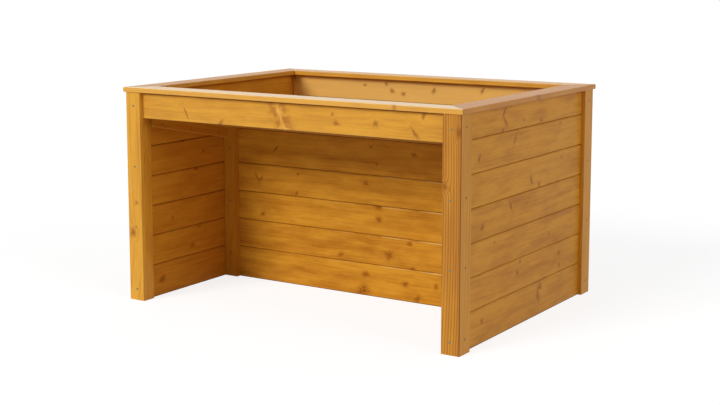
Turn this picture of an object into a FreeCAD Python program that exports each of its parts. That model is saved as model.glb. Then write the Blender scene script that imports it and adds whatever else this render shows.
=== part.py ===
# Raised garden bed that a seated gardener can drive under.
#
# The bed is a timber box on four corner posts. The side and rear walls are tongue-and-groove boards
# down to the ground. The front is open below one board, so knees and a chair fit under a shallow
# planting tray, whose floor slopes back to a deep planting space behind an upright panel.
#
# Frame: +X to the right seen from the front, +Y to the rear, +Z up, in millimetres. The origin is on
# the ground under the middle of the bed. Every sketch measures from the front left ground corner of
# the corner boards, and each body is then shifted back by half the width and half the depth.

import FreeCAD, Part
import math
import os
import Sketcher

SIZES = {
    # whole bed, over the outer faces of the corner boards
    "bed_width": 1484,
    "bed_depth": 1100,
    "bed_height": 845,
    # rim: four mitred boards laid flat on top
    "rim_thickness": 19,
    "rim_board_width": 94,
    "rim_overhang_side": 8,
    "rim_overhang_end": 5,
    "rim_edge_radius": 2.5,
    # corners: a post with two mitred corner boards on its outer faces
    "corner_board_thickness": 16,
    "corner_board_front": 72,
    "corner_board_side": 76,
    "corner_edge_radius": 2,
    "front_post_depth": 43,
    "rear_post_depth": 56,
    # wall boards, with two tongues, two grooves and a bevel on each face
    "wall_thickness": 44,
    "bottom_course": 129,
    "top_course": 97,
    "bevel": 4,
    "tongue_height": 9,
    "tongue_width": 8,
    "tongue_spacing": 18,
    "tongue_side_play": 0.4,
    "tongue_end_play": 1,
    # front board over the knee space, hung under the rim
    "front_board_height": 101,
    "front_board_gap": 2,
    # panel that closes the knee space at the back, and its battens
    "knee_depth": 531,
    "batten_width": 62,
    "batten_thickness": 22,
    # sloping tray floor on its two bearers, whose high end starts a little under the front board
    "floor_angle": 11.4,
    "bearer_drop": 34,
    "bearer_height": 45,
    "bearer_thickness": 22,
    "floor_thickness": 22,
    "floor_gap": 6,
    "floor_end_gap": 2,
    # screws
    "shank_diameter": 5,
    "head_diameter": 9,
    "hole_play": 0.2,
    "long_screw": 90,
    "short_screw": 60,
    "batten_screw": 45,
    "drill_play": 1,
    "corner_screw_rise": 45,
    "corner_screw_stagger": 8,
    "batten_screw_rise": 100,
    "batten_screw_drop": 88,
    "floor_screw_inset": 20,
    "bearer_screw_inset": 60,
}
WALL_COURSES = 7
PANEL_COURSES = 5
FLOOR_BOARDS = 5
COUNTERSINK = 45
SCREW_SIDES = 8


class Size:
    """A length that carries its number and the sheet formula that gives it."""

    def __init__(self, value, formula):
        self.value = float(value)
        self.formula = formula

    def __add__(self, other):
        other = as_size(other)
        return Size(self.value + other.value, f"({self.formula} + {other.formula})")

    def __radd__(self, other):
        return as_size(other) + self

    def __sub__(self, other):
        other = as_size(other)
        return Size(self.value - other.value, f"({self.formula} - {other.formula})")

    def __rsub__(self, other):
        return as_size(other) - self

    def __mul__(self, other):
        other = as_size(other)
        return Size(self.value * other.value, f"({self.formula} * {other.formula})")

    def __rmul__(self, other):
        return as_size(other) * self

    def __truediv__(self, other):
        other = as_size(other)
        return Size(self.value / other.value, f"({self.formula} / {other.formula})")


def as_size(number):
    if isinstance(number, Size):
        return number
    return Size(number, str(number))


def sine(angle):
    return Size(math.sin(math.radians(angle.value)), f"sin({angle.formula} * 1 deg)")


def cosine(angle):
    return Size(math.cos(math.radians(angle.value)), f"cos({angle.formula} * 1 deg)")


def tangent(angle):
    return Size(math.tan(math.radians(angle.value)), f"tan({angle.formula} * 1 deg)")


doc = FreeCAD.newDocument("RaisedGardenBed")


def make_sheet():
    """Write every driving size to the sheet and return them as named sizes."""
    sheet = doc.addObject("Spreadsheet::Sheet", "Sizes")
    named = {}
    for row, (name, number) in enumerate(SIZES.items(), start=1):
        sheet.set(f"A{row}", name)
        sheet.set(f"B{row}", str(number))
        sheet.setAlias(f"B{row}", name)
        named[name] = Size(number, f"Sizes.{name}")
    doc.recompute()
    return named


S = make_sheet()

# ---- places that several pieces share, measured from the front left ground corner ----------------
WIDTH = S["bed_width"]
DEPTH = S["bed_depth"]
GROUND = Size(0, "0")
RIM_UNDERSIDE = S["bed_height"] - S["rim_thickness"]
BOARD = S["corner_board_thickness"]
WALL_OUTER = BOARD
WALL_INNER = BOARD + S["wall_thickness"]
WALL_MIDDLE = BOARD + S["wall_thickness"] / 2
POST_INNER = S["corner_board_front"]
FRONT_POST_BACK = BOARD + S["front_post_depth"]
REAR_POST_FRONT = DEPTH - BOARD - S["rear_post_depth"]
PANEL_FRONT = S["knee_depth"] + S["batten_thickness"]
PANEL_BACK = PANEL_FRONT + S["wall_thickness"]
SLOPE = S["floor_angle"]
FRONT_BOARD_TOP = RIM_UNDERSIDE - S["front_board_gap"]
KNEE_HEIGHT = FRONT_BOARD_TOP - S["front_board_height"]
FRONT_BOARD_MIDDLE = (KNEE_HEIGHT + FRONT_BOARD_TOP) / 2
BEARER_BOTTOM = KNEE_HEIGHT - S["bearer_drop"]
BEARER_TOP = BEARER_BOTTOM + S["bearer_height"] / cosine(SLOPE)
HOLE = S["shank_diameter"] + 2 * S["hole_play"]
HEAD_HEIGHT = (S["head_diameter"] - S["shank_diameter"]) / 2


def floor_underside(y):
    """Height of the underside of the sloping floor at depth y."""
    return BEARER_TOP - (y - FRONT_POST_BACK) * tangent(SLOPE)


def from_right(x):
    """The same place counted from the right-hand side of the bed."""
    return WIDTH - x


def from_rear(y):
    """The same place counted from the rear of the bed."""
    return DEPTH - y


# ---- sketches, pads and pockets ------------------------------------------------------------------
PLANES = {"level": "XY_Plane", "across": "XZ_Plane", "along": "YZ_Plane"}


def new_body(label, corner=(GROUND, GROUND, GROUND)):
    """A body whose sketches measure from a corner, itself given from the bed's front left corner."""
    body = doc.addObject("PartDesign::Body", label)
    body.Label = label
    body.setExpression("Placement.Base.x", (corner[0] - WIDTH / 2).formula)
    body.setExpression("Placement.Base.y", (corner[1] - DEPTH / 2).formula)
    body.setExpression("Placement.Base.z", corner[2].formula)
    return body


def new_sketch(body, plane, offset):
    """A sketch on one of the body's own planes: level (x, y), across (x, z) or along (y, z).

    The across plane faces the front, so its offset counts towards -Y.
    """
    sketch = body.newObject("Sketcher::SketchObject", f"{body.Name}_{plane}")
    role = PLANES[plane]
    origin_plane = [f for f in body.Origin.OriginFeatures if f.Role == role][0]
    sketch.AttachmentSupport = [(origin_plane, "")]
    sketch.MapMode = "FlatFace"
    distance = offset * -1 if plane == "across" else offset
    sketch.setExpression("AttachmentOffset.Base.z", distance.formula)
    return sketch


def pins(line, place):
    """What holds the start of a line at a place: a constraint and a formula for each coordinate."""
    held = []
    for kind, axis, size in (("DistanceX", -2, place[0]), ("DistanceY", -1, place[1])):
        if size.value == 0:
            held.append((Sketcher.Constraint("PointOnObject", line, 1, axis), None))
        else:
            held.append((Sketcher.Constraint(kind, -1, 1, line, 1, size.value), size.formula))
    return held


def draw_outlines(sketch, outlines):
    """Close each straight-sided outline through its places, every coordinate bound to the sheet."""
    lines = []
    held = []
    for outline in outlines:
        places = [(as_size(u), as_size(v)) for u, v in outline]
        points = [FreeCAD.Vector(u.value, v.value, 0) for u, v in places]
        first = len(lines)
        for i, place in enumerate(places):
            following = (i + 1) % len(places)
            lines.append(Part.LineSegment(points[i], points[following]))
            joined = Sketcher.Constraint("Coincident", first + i, 2, first + following, 1)
            held.append((joined, None))
            held += pins(first + i, place)
    sketch.addGeometry(lines, False)
    sketch.addConstraint([constraint for constraint, formula in held])
    for index, (constraint, formula) in enumerate(held):
        if formula:
            sketch.setExpression(f"Constraints[{index}]", formula)


def eight_sides(centre, diameter):
    """Corners of the eight-sided outline that stands in for a small round one."""
    corners = []
    for side in range(SCREW_SIDES):
        turn = 2 * math.pi * (side + 0.5) / SCREW_SIDES
        across = diameter * round(math.cos(turn) / 2, 5)
        along = diameter * round(math.sin(turn) / 2, 5)
        corners.append((centre[0] + across, centre[1] + along))
    return corners


def extrude(body, plane, low, high, places):
    """Pad an outline between two offsets from its plane."""
    start = high if plane == "across" else low
    sketch = new_sketch(body, plane, start)
    draw_outlines(sketch, [places])
    pad = body.newObject("PartDesign::Pad", f"{body.Name}_pad")
    pad.Profile = sketch
    pad.setExpression("Length", (high - low).formula)
    body.Tip = pad
    return pad


def bore(body, plane, offset, inward, centres, depth, diameter, taper=0):
    """Cut screw holes from an outer face, in the direction of +1 or -1 along the plane's axis.

    A taper of 45 degrees cuts a countersink that narrows with depth.
    """
    doc.recompute()
    before = body.Shape.Volume
    sketch = new_sketch(body, plane, offset)
    draw_outlines(sketch, [eight_sides(centre, diameter) for centre in centres])
    pocket = body.newObject("PartDesign::Pocket", f"{body.Name}_bore")
    pocket.Profile = sketch
    pocket.setExpression("Length", depth.formula)
    # an across sketch faces -Y and the others face their own axis; a pocket cuts away from that
    pocket.Reversed = (inward < 0) if plane == "across" else (inward > 0)
    pocket.TaperAngle = -taper
    body.Tip = pocket
    doc.recompute()
    if not body.Shape.Volume < before - 1:
        raise RuntimeError(f"{body.Label}: a hole cuts nothing")


def ease_edges(body, radius, wanted):
    """Round those edges of the body that the test picks by their end points."""
    doc.recompute()
    base = body.Tip
    names = []
    for number, edge in enumerate(base.Shape.Edges, start=1):
        ends = [vertex.Point for vertex in edge.Vertexes]
        if len(ends) == 2 and wanted(ends[0], ends[1]):
            names.append(f"Edge{number}")
    fillet = body.newObject("PartDesign::Fillet", f"{body.Name}_eased")
    fillet.Base = (base, names)
    fillet.setExpression("Radius", radius.formula)
    body.Tip = fillet


# ---- courses of the walls ------------------------------------------------------------------------
# The bottom and top boards of a wall have their own heights, and those between share the rest.
COURSES_BETWEEN = RIM_UNDERSIDE - S["bottom_course"] - S["top_course"]
COURSE_HEIGHT = COURSES_BETWEEN / (WALL_COURSES - 2)


def course_base(course):
    if course == 0:
        return GROUND
    return S["bottom_course"] + (course - 1) * COURSE_HEIGHT


def tongue_middles(face):
    middle = face + S["wall_thickness"] / 2
    return middle - S["tongue_spacing"] / 2, middle + S["tongue_spacing"] / 2


def groove_outline(face, base):
    """The underside of a board: a bevel on each face and the two grooves, from face to far face."""
    far = face + S["wall_thickness"]
    half = S["tongue_width"] / 2 + S["tongue_side_play"]
    roof = base + S["tongue_height"] + S["tongue_end_play"]
    places = [(face, base + S["bevel"]), (face + S["bevel"], base)]
    for middle in tongue_middles(face):
        places += [(middle - half, base), (middle - half, roof)]
        places += [(middle + half, roof), (middle + half, base)]
    return places + [(far - S["bevel"], base), (far, base + S["bevel"])]


def tongue_outline(face, top):
    """The top of a board: a bevel on each face and the two tongues, from far face to face."""
    far = face + S["wall_thickness"]
    half = S["tongue_width"] / 2
    crest = top + S["tongue_height"]
    places = [(far, top - S["bevel"]), (far - S["bevel"], top)]
    for middle in reversed(tongue_middles(face)):
        places += [(middle + half, top), (middle + half, crest)]
        places += [(middle - half, crest), (middle - half, top)]
    return places + [(face + S["bevel"], top), (face, top - S["bevel"])]


def course_outline(face, course, count, top_front, top_back):
    """End view of one board of a wall whose outer face lies at the given place."""
    far = face + S["wall_thickness"]
    places = []
    if course == 0:
        places += [(face, GROUND), (far, GROUND)]
    else:
        places += groove_outline(face, course_base(course))
    if course == count - 1:
        places += [(far, top_back), (face, top_front)]
    else:
        places += tongue_outline(face, course_base(course + 1))
    return places


def screwed_courses(count):
    """Every other board, from the bottom one up, and the top one take a screw at each end."""
    return list(range(0, count - 1, 2)) + [count - 1]


def course_top(course, count, top):
    return top if course == count - 1 else course_base(course + 1)


def meets(height, low, high):
    """Whether a screw hole at a height touches the stretch from low to high."""
    half = HOLE.value / 2
    return height.value + half > low.value and height.value - half < high.value


def face_heights(end):
    """Heights of the screws in a front or rear face: the front's top one is level with its board."""
    heights = [course_base(c) + S["corner_screw_rise"] for c in screwed_courses(WALL_COURSES)]
    if end == "front":
        heights[-1] = FRONT_BOARD_MIDDLE
    return heights


def side_heights(end):
    """Heights of the screws in a side face, which pass just above those of the other face."""
    return [height + S["corner_screw_stagger"] for height in face_heights(end)]


# ---- corners -------------------------------------------------------------------------------------
CORNERS = [("front", "left"), ("front", "right"), ("rear", "left"), ("rear", "right")]


def place_x(side, x):
    return x if side == "left" else from_right(x)


def place_y(end, y):
    return y if end == "front" else from_rear(y)


def ordered(first, second):
    return (first, second) if first.value < second.value else (second, first)


def sink_holes(body, plane, offset, inward, centres):
    """Clearance holes through a corner board, with a countersink on its outer face."""
    wide = S["head_diameter"] + 2 * S["hole_play"]
    bore(body, plane, offset, inward, centres, BOARD, HOLE)
    bore(body, plane, offset, inward, centres, HEAD_HEIGHT, wide, COUNTERSINK)


def corner_board_face(end, side):
    """The board on the front or rear face of a corner, mitred to its neighbour on the side."""
    tip = S["corner_edge_radius"]
    plan = [(tip, GROUND), (POST_INNER, GROUND), (POST_INNER, BOARD), (BOARD, BOARD),
            (tip / 2, tip / 2)]
    body = new_body(f"corner_board_{end}_{side}")
    extrude(body, "level", GROUND, RIM_UNDERSIDE,
            [(place_x(side, x), place_y(end, y)) for x, y in plan])
    face = place_y(end, GROUND)
    ease_edges(body, S["corner_edge_radius"], upright_at(place_x(side, POST_INNER), face))
    centres = [(place_x(side, WALL_MIDDLE), z) for z in face_heights(end)]
    sink_holes(body, "across", face, 1 if end == "front" else -1, centres)
    return body


def corner_board_side(end, side):
    """The board on the side face of a corner, which laps over the ends of the side wall boards."""
    tip = S["corner_edge_radius"]
    lap = S["corner_board_side"]
    plan = [(GROUND, tip), (tip / 2, tip / 2), (BOARD, BOARD), (BOARD, lap), (GROUND, lap)]
    body = new_body(f"side_board_{end}_{side}")
    extrude(body, "level", GROUND, RIM_UNDERSIDE,
            [(place_x(side, x), place_y(end, y)) for x, y in plan])
    face = place_x(side, GROUND)
    ease_edges(body, S["corner_edge_radius"], upright_at(face, place_y(end, lap)))
    centres = [(place_y(end, WALL_MIDDLE), z) for z in side_heights(end)]
    sink_holes(body, "along", face, 1 if side == "left" else -1, centres)
    return body


def upright_at(x, y):
    """Picks the upright edge that stands at a place in plan."""
    def wanted(first, second):
        upright = abs(first.x - second.x) + abs(first.y - second.y) < 0.01
        return upright and abs(first.x - x.value) < 0.01 and abs(first.y - y.value) < 0.01
    return wanted


def corner_post(end, side):
    """The square-sawn post inside a corner, drilled for the screws of both corner boards."""
    depth = S["front_post_depth"] if end == "front" else S["rear_post_depth"]
    low_x, high_x = ordered(place_x(side, BOARD), place_x(side, POST_INNER))
    low_y, high_y = ordered(place_y(end, BOARD), place_y(end, BOARD + depth))
    body = new_body(f"post_{end}_{side}")
    extrude(body, "level", GROUND, RIM_UNDERSIDE,
            [(low_x, low_y), (high_x, low_y), (high_x, high_y), (low_x, high_y)])
    from_face = [(place_x(side, WALL_MIDDLE), z) for z in face_heights(end)]
    bore(body, "across", place_y(end, BOARD), 1 if end == "front" else -1, from_face, depth, HOLE)
    inward = 1 if side == "left" else -1
    for z, reach in zip(side_heights(end), side_screw_lengths(end)):
        depth_in_post = min_size(reach - BOARD + S["drill_play"], POST_INNER - BOARD)
        bore(body, "along", place_x(side, BOARD), inward,
             [(place_y(end, WALL_MIDDLE), z)], depth_in_post, HOLE)
    return body


def min_size(first, second):
    return first if first.value < second.value else second


def side_screw_lengths(end):
    """Side screws reach a board's end at the rear, and at the front only at the top."""
    lengths = [S["long_screw"] for height in side_heights(end)]
    if end == "front":
        lengths[:-1] = [S["short_screw"] for length in lengths[:-1]]
    return lengths


# ---- walls ---------------------------------------------------------------------------------------
def side_wall_board(side, course):
    """One board of a side wall, from the front post to the rear post."""
    face = WALL_OUTER if side == "left" else from_right(WALL_INNER)
    low = course_base(course)
    high = course_top(course, WALL_COURSES, RIM_UNDERSIDE)
    body = new_body(f"{side}_wall_board_{course + 1}")
    outline = course_outline(face, course, WALL_COURSES, RIM_UNDERSIDE, RIM_UNDERSIDE)
    extrude(body, "across", FRONT_POST_BACK, REAR_POST_FRONT, outline)
    spare = S["long_screw"] - BOARD + S["drill_play"]
    ends = (("front", FRONT_POST_BACK, 1, spare - S["front_post_depth"]),
            ("rear", REAR_POST_FRONT, -1, spare - S["rear_post_depth"]))
    for end, offset, inward, depth in ends:
        heights = [z for z in face_heights(end) if meets(z, low, high)]
        if heights:
            centres = [(place_x(side, WALL_MIDDLE), z) for z in heights]
            bore(body, "across", offset, inward, centres, depth, HOLE)
    crossing = [(y, z) for y, z in bearer_screw_places()
                if meets(z, low, high + S["tongue_height"])]
    if crossing:
        depth = S["batten_screw"] - S["bearer_thickness"] + S["drill_play"]
        offset = place_x(side, WALL_INNER)
        bore(body, "along", offset, -1 if side == "left" else 1, crossing, depth, HOLE)
    return body


def bore_both_ends(body, y, height):
    """Screw holes in the ends of a board that runs between the left and right posts."""
    depth = S["long_screw"] - POST_INNER + S["drill_play"]
    bore(body, "along", POST_INNER, 1, [(y, height)], depth, HOLE)
    bore(body, "along", from_right(POST_INNER), -1, [(y, height)], depth, HOLE)


def rear_wall_board(course):
    """One board of the rear wall, between the rear posts."""
    low = course_base(course)
    high = course_top(course, WALL_COURSES, RIM_UNDERSIDE)
    body = new_body(f"rear_wall_board_{course + 1}")
    outline = course_outline(from_rear(WALL_INNER), course, WALL_COURSES,
                             RIM_UNDERSIDE, RIM_UNDERSIDE)
    extrude(body, "along", POST_INNER, from_right(POST_INNER), outline)
    for height in side_heights("rear"):
        if meets(height, low, high):
            bore_both_ends(body, from_rear(WALL_MIDDLE), height)
    return body


def front_board():
    """The single board over the knee space, bevelled along all four edges."""
    low = KNEE_HEIGHT
    high = FRONT_BOARD_TOP
    edge = S["bevel"]
    outline = [(WALL_OUTER + edge, low), (WALL_INNER - edge, low), (WALL_INNER, low + edge),
               (WALL_INNER, high - edge), (WALL_INNER - edge, high), (WALL_OUTER + edge, high),
               (WALL_OUTER, high - edge), (WALL_OUTER, low + edge)]
    body = new_body("front_board")
    extrude(body, "along", POST_INNER, from_right(POST_INNER), outline)
    bore_both_ends(body, WALL_MIDDLE, side_heights("front")[-1])
    return body


# ---- knee space panel and tray -------------------------------------------------------------------
def panel_board(course):
    """One board of the upright panel; the top one is cut to the slope of the floor it carries."""
    body = new_body(f"panel_board_{course + 1}")
    outline = course_outline(PANEL_FRONT, course, PANEL_COURSES,
                             floor_underside(PANEL_FRONT), floor_underside(PANEL_BACK))
    extrude(body, "along", WALL_INNER, from_right(WALL_INNER), outline)
    high = course_top(course, PANEL_COURSES, floor_underside(PANEL_FRONT))
    depth = S["batten_screw"] - S["batten_thickness"] + S["drill_play"]
    for height in BATTEN_HEIGHTS:
        if meets(height, course_base(course), high + S["tongue_height"]):
            centres = [(place_x(side, BATTEN_MIDDLE), height) for side in ("left", "right")]
            bore(body, "across", PANEL_FRONT, 1, centres, depth, HOLE)
    return body


BATTEN_MIDDLE = WALL_INNER + S["batten_width"] / 2
BATTEN_LOW_SCREW = S["batten_screw_rise"]
BATTEN_HIGH_SCREW = floor_underside(S["knee_depth"]) - S["batten_screw_drop"]
BATTEN_HEIGHTS = [BATTEN_LOW_SCREW, (BATTEN_LOW_SCREW + BATTEN_HIGH_SCREW) / 2, BATTEN_HIGH_SCREW]


def panel_batten(side):
    """The upright batten in front of one end of the panel, which holds it against the soil."""
    front = S["knee_depth"]
    outline = [(front, GROUND), (PANEL_FRONT, GROUND),
               (PANEL_FRONT, floor_underside(PANEL_FRONT)), (front, floor_underside(front))]
    low, high = ordered(place_x(side, WALL_INNER), place_x(side, WALL_INNER + S["batten_width"]))
    body = new_body(f"panel_batten_{side}")
    extrude(body, "along", low, high, outline)
    centres = [(place_x(side, BATTEN_MIDDLE), z) for z in BATTEN_HEIGHTS]
    bore(body, "across", front, 1, centres, S["batten_thickness"], HOLE)
    bore(body, "across", front, 1, centres, HEAD_HEIGHT,
         S["head_diameter"] + 2 * S["hole_play"], COUNTERSINK)
    return body


# The sloping pieces are drawn in a frame that leans with the floor: along it the first coordinate
# runs down the slope to the rear, and the second stands square to it. Its corner lies a little in
# front of the bearer's foot, so that every place in it is positive.
SLOPE_REACH = S["bearer_height"] * tangent(SLOPE)
SLOPE_CORNER = (GROUND, FRONT_POST_BACK - SLOPE_REACH * cosine(SLOPE),
                BEARER_BOTTOM + SLOPE_REACH * sine(SLOPE))
BEARER_LENGTH = (S["knee_depth"] - FRONT_POST_BACK) / cosine(SLOPE)
BEARER_MIDDLE = WALL_INNER + S["bearer_thickness"] / 2
FLOOR_START = (WALL_INNER + S["floor_end_gap"] - FRONT_POST_BACK) / cosine(SLOPE)
FLOOR_END = (PANEL_BACK - FRONT_POST_BACK) / cosine(SLOPE)
FLOOR_BOARD_WIDTH = (FLOOR_END - FLOOR_START - (FLOOR_BOARDS - 1) * S["floor_gap"]) / FLOOR_BOARDS


def floor_board_start(number):
    return FLOOR_START + number * (FLOOR_BOARD_WIDTH + S["floor_gap"])


def leaning_body(label):
    body = new_body(label, SLOPE_CORNER)
    body.Placement.Rotation = FreeCAD.Rotation(FreeCAD.Vector(-1, 0, 0), SLOPE.value)
    body.setExpression("Placement.Rotation.Angle", SLOPE.formula)
    return body


def floor_screw_places():
    return [floor_board_start(n) + S["floor_screw_inset"] for n in range(FLOOR_BOARDS)]


def bearer_screw_spots():
    """Where the bearer's own screws sit in its leaning frame, below the tips of the floor screws."""
    first = SLOPE_REACH / 2 + S["bearer_screw_inset"]
    last = SLOPE_REACH / 2 + BEARER_LENGTH - S["bearer_screw_inset"]
    height = S["bearer_height"] / 3
    return [(first, height), ((first + last) / 2, height), (last, height)]


def bearer_screw_places():
    """The same screws as depth and height in the upright frame of the walls."""
    return [(SLOPE_CORNER[1] + u * cosine(SLOPE) + v * sine(SLOPE),
             SLOPE_CORNER[2] - u * sine(SLOPE) + v * cosine(SLOPE))
            for u, v in bearer_screw_spots()]


def floor_bearer(side):
    """The sloping batten on a side wall that carries the ends of the floor boards."""
    height = S["bearer_height"]
    outline = [(SLOPE_REACH, GROUND), (SLOPE_REACH + BEARER_LENGTH, GROUND),
               (BEARER_LENGTH, height), (GROUND, height)]
    low, high = ordered(place_x(side, WALL_INNER),
                        place_x(side, WALL_INNER + S["bearer_thickness"]))
    body = leaning_body(f"floor_bearer_{side}")
    extrude(body, "along", low, high, outline)
    depth = S["batten_screw"] - S["floor_thickness"] + S["drill_play"]
    centres = [(place_x(side, BEARER_MIDDLE), u) for u in floor_screw_places()]
    bore(body, "level", height, -1, centres, depth, HOLE)
    inner = place_x(side, WALL_INNER + S["bearer_thickness"])
    inward = -1 if side == "left" else 1
    wide = S["head_diameter"] + 2 * S["hole_play"]
    bore(body, "along", inner, inward, bearer_screw_spots(), S["bearer_thickness"], HOLE)
    bore(body, "along", inner, inward, bearer_screw_spots(), HEAD_HEIGHT, wide, COUNTERSINK)
    return body


def floor_board(number):
    """One board of the tray floor, lying across both bearers with a gap for water beside it."""
    start = floor_board_start(number)
    low = S["bearer_height"]
    high = low + S["floor_thickness"]
    end = start + FLOOR_BOARD_WIDTH
    side_gap = WALL_INNER + S["floor_end_gap"]
    body = leaning_body(f"floor_board_{number + 1}")
    extrude(body, "along", side_gap, from_right(side_gap),
            [(start, low), (end, low), (end, high), (start, high)])
    along = start + S["floor_screw_inset"]
    centres = [(place_x(side, BEARER_MIDDLE), along) for side in ("left", "right")]
    bore(body, "level", high, -1, centres, S["floor_thickness"], HOLE)
    bore(body, "level", high, -1, centres, HEAD_HEIGHT,
         S["head_diameter"] + 2 * S["hole_play"], COUNTERSINK)
    return body


# ---- rim -----------------------------------------------------------------------------------------
RIM_CORNER = (GROUND - S["rim_overhang_side"], GROUND - S["rim_overhang_end"], GROUND)
RIM_WIDTH = WIDTH + 2 * S["rim_overhang_side"]
RIM_DEPTH = DEPTH + 2 * S["rim_overhang_end"]


def rim_board(where):
    """One mitred board of the rim, with its long edges eased."""
    band = S["rim_board_width"]
    plans = {
        "front": [(GROUND, GROUND), (RIM_WIDTH, GROUND), (RIM_WIDTH - band, band), (band, band)],
        "rear": [(GROUND, RIM_DEPTH), (RIM_WIDTH, RIM_DEPTH), (RIM_WIDTH - band, RIM_DEPTH - band),
                 (band, RIM_DEPTH - band)],
        "left": [(GROUND, GROUND), (GROUND, RIM_DEPTH), (band, RIM_DEPTH - band), (band, band)],
        "right": [(RIM_WIDTH, GROUND), (RIM_WIDTH, RIM_DEPTH), (RIM_WIDTH - band, RIM_DEPTH - band),
                  (RIM_WIDTH - band, band)],
    }
    body = new_body(f"rim_board_{where}", RIM_CORNER)
    extrude(body, "level", RIM_UNDERSIDE, S["bed_height"], plans[where])
    ease_edges(body, S["rim_edge_radius"], long_edges(where))
    return body


def long_edges(where):
    """Picks the four edges that run the length of a rim board."""
    def wanted(first, second):
        if where in ("front", "rear"):
            return abs(first.y - second.y) < 0.01 and abs(first.x - second.x) > 1
        return abs(first.x - second.x) < 0.01 and abs(first.y - second.y) > 1
    return wanted


# ---- screws --------------------------------------------------------------------------------------
def screw_ring(radius, height):
    """One eight-sided ring of a screw, standing at a height along its length."""
    points = []
    for side in range(SCREW_SIDES):
        turn = 2 * math.pi * (side + 0.5) / SCREW_SIDES
        points.append(FreeCAD.Vector(radius * math.cos(turn), radius * math.sin(turn), height))
    return Part.makePolygon(points + points[:1])


def screw(length, head_place, direction):
    """A countersunk screw with its head flush at a place and its shank along a direction."""
    shank = S["shank_diameter"].value / 2
    rings = [screw_ring(S["head_diameter"].value / 2, 0), screw_ring(shank, HEAD_HEIGHT.value),
             screw_ring(shank, length - 2 * shank), screw_ring(shank / 4, length)]
    solid = Part.makeLoft(rings, True, True)
    turn = FreeCAD.Rotation(FreeCAD.Vector(0, 0, 1), FreeCAD.Vector(*direction))
    solid.Placement = FreeCAD.Placement(FreeCAD.Vector(*[c.value for c in head_place]), turn)
    return solid


def screw_group(label, solids, frame):
    group = doc.addObject("Part::Feature", label)
    group.Label = label
    group.Shape = Part.makeCompound(solids)
    group.Placement = frame
    return group


def bed_frame():
    return FreeCAD.Placement(FreeCAD.Vector(-WIDTH.value / 2, -DEPTH.value / 2, 0),
                             FreeCAD.Rotation())


def slope_frame():
    corner = FreeCAD.Vector(SLOPE_CORNER[0].value - WIDTH.value / 2,
                            SLOPE_CORNER[1].value - DEPTH.value / 2, SLOPE_CORNER[2].value)
    lean = FreeCAD.Rotation(FreeCAD.Vector(-1, 0, 0), SLOPE.value)
    return FreeCAD.Placement(corner, lean)


def corner_screws():
    """The screws of all four corners: long ones that reach a board's end, and short ones."""
    long_ones = []
    short_ones = []
    for end, side in CORNERS:
        into_bed = (0, 1, 0) if end == "front" else (0, -1, 0)
        for z in face_heights(end):
            place = (place_x(side, WALL_MIDDLE), place_y(end, GROUND), z)
            long_ones.append(screw(S["long_screw"].value, place, into_bed))
        inward = (1, 0, 0) if side == "left" else (-1, 0, 0)
        for z, length in zip(side_heights(end), side_screw_lengths(end)):
            place = (place_x(side, GROUND), place_y(end, WALL_MIDDLE), z)
            group = long_ones if length is S["long_screw"] else short_ones
            group.append(screw(length.value, place, inward))
    return [screw_group("corner_screws_long", long_ones, bed_frame()),
            screw_group("corner_screws_short", short_ones, bed_frame())]


def batten_screws():
    length = S["batten_screw"].value
    solids = [screw(length, (place_x(side, BATTEN_MIDDLE), S["knee_depth"], z), (0, 1, 0))
              for side in ("left", "right") for z in BATTEN_HEIGHTS]
    return screw_group("batten_screws", solids, bed_frame())


def floor_screws():
    length = S["batten_screw"].value
    top = S["bearer_height"] + S["floor_thickness"]
    solids = [screw(length, (place_x(side, BEARER_MIDDLE), u, top), (0, 0, -1))
              for side in ("left", "right") for u in floor_screw_places()]
    return screw_group("floor_screws", solids, slope_frame())


def bearer_screws():
    length = S["batten_screw"].value
    solids = []
    for side, outward in (("left", (-1, 0, 0)), ("right", (1, 0, 0))):
        inner = place_x(side, WALL_INNER + S["bearer_thickness"])
        solids += [screw(length, (inner, u, v), outward) for u, v in bearer_screw_spots()]
    return screw_group("bearer_screws", solids, slope_frame())


# ---- the whole bed -------------------------------------------------------------------------------
def build():
    pieces = []
    for end, side in CORNERS:
        pieces += [corner_post(end, side), corner_board_face(end, side),
                   corner_board_side(end, side)]
    for course in range(WALL_COURSES):
        pieces += [side_wall_board("left", course), side_wall_board("right", course),
                   rear_wall_board(course)]
    pieces += [panel_board(course) for course in range(PANEL_COURSES)]
    pieces.append(front_board())
    for side in ("left", "right"):
        pieces += [panel_batten(side), floor_bearer(side)]
    pieces += [floor_board(number) for number in range(FLOOR_BOARDS)]
    pieces += [rim_board(where) for where in ("front", "rear", "left", "right")]
    pieces += corner_screws()
    pieces += [batten_screws(), floor_screws(), bearer_screws()]
    return pieces


def check(pieces):
    """Stop before anything is written if a feature failed or a piece is not a sound solid."""
    for item in doc.Objects:
        if "Invalid" in item.State or "Error" in item.State:
            raise RuntimeError(f"{item.Label} did not compute: {item.State}")
    for piece in pieces:
        shape = piece.Shape
        if shape.isNull() or not shape.isValid() or not shape.Solids:
            raise RuntimeError(f"{piece.Label} is not a sound solid")
        if isinstance(shape, Part.Solid) and shape.Volume <= 0:
            raise RuntimeError(f"{piece.Label} is inside out")


pieces = build()
doc.recompute()
check(pieces)
os.makedirs("parts", exist_ok=True)
for piece in pieces:
    piece.Shape.exportStep(f"parts/{piece.Label}.step")
    print(f"{piece.Label}: {len(piece.Shape.Solids)} solid(s), {piece.Shape.Volume / 1000:.0f} cm3")
print(f"{len(pieces)} pieces")
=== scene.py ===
# %% [markdown]
# # A raised garden bed in honey-stained spruce
# The bed is a box of tongued and grooved boards, open at the front for the knees. Its timber comes
# board by board from the imported construction model, so every board keeps the place and shape it has
# there. This lesson gives it its looks: the stain, the grain and knots of each board, the screw
# heads, and a plain studio.

# %% Load the construction model
import math

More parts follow.
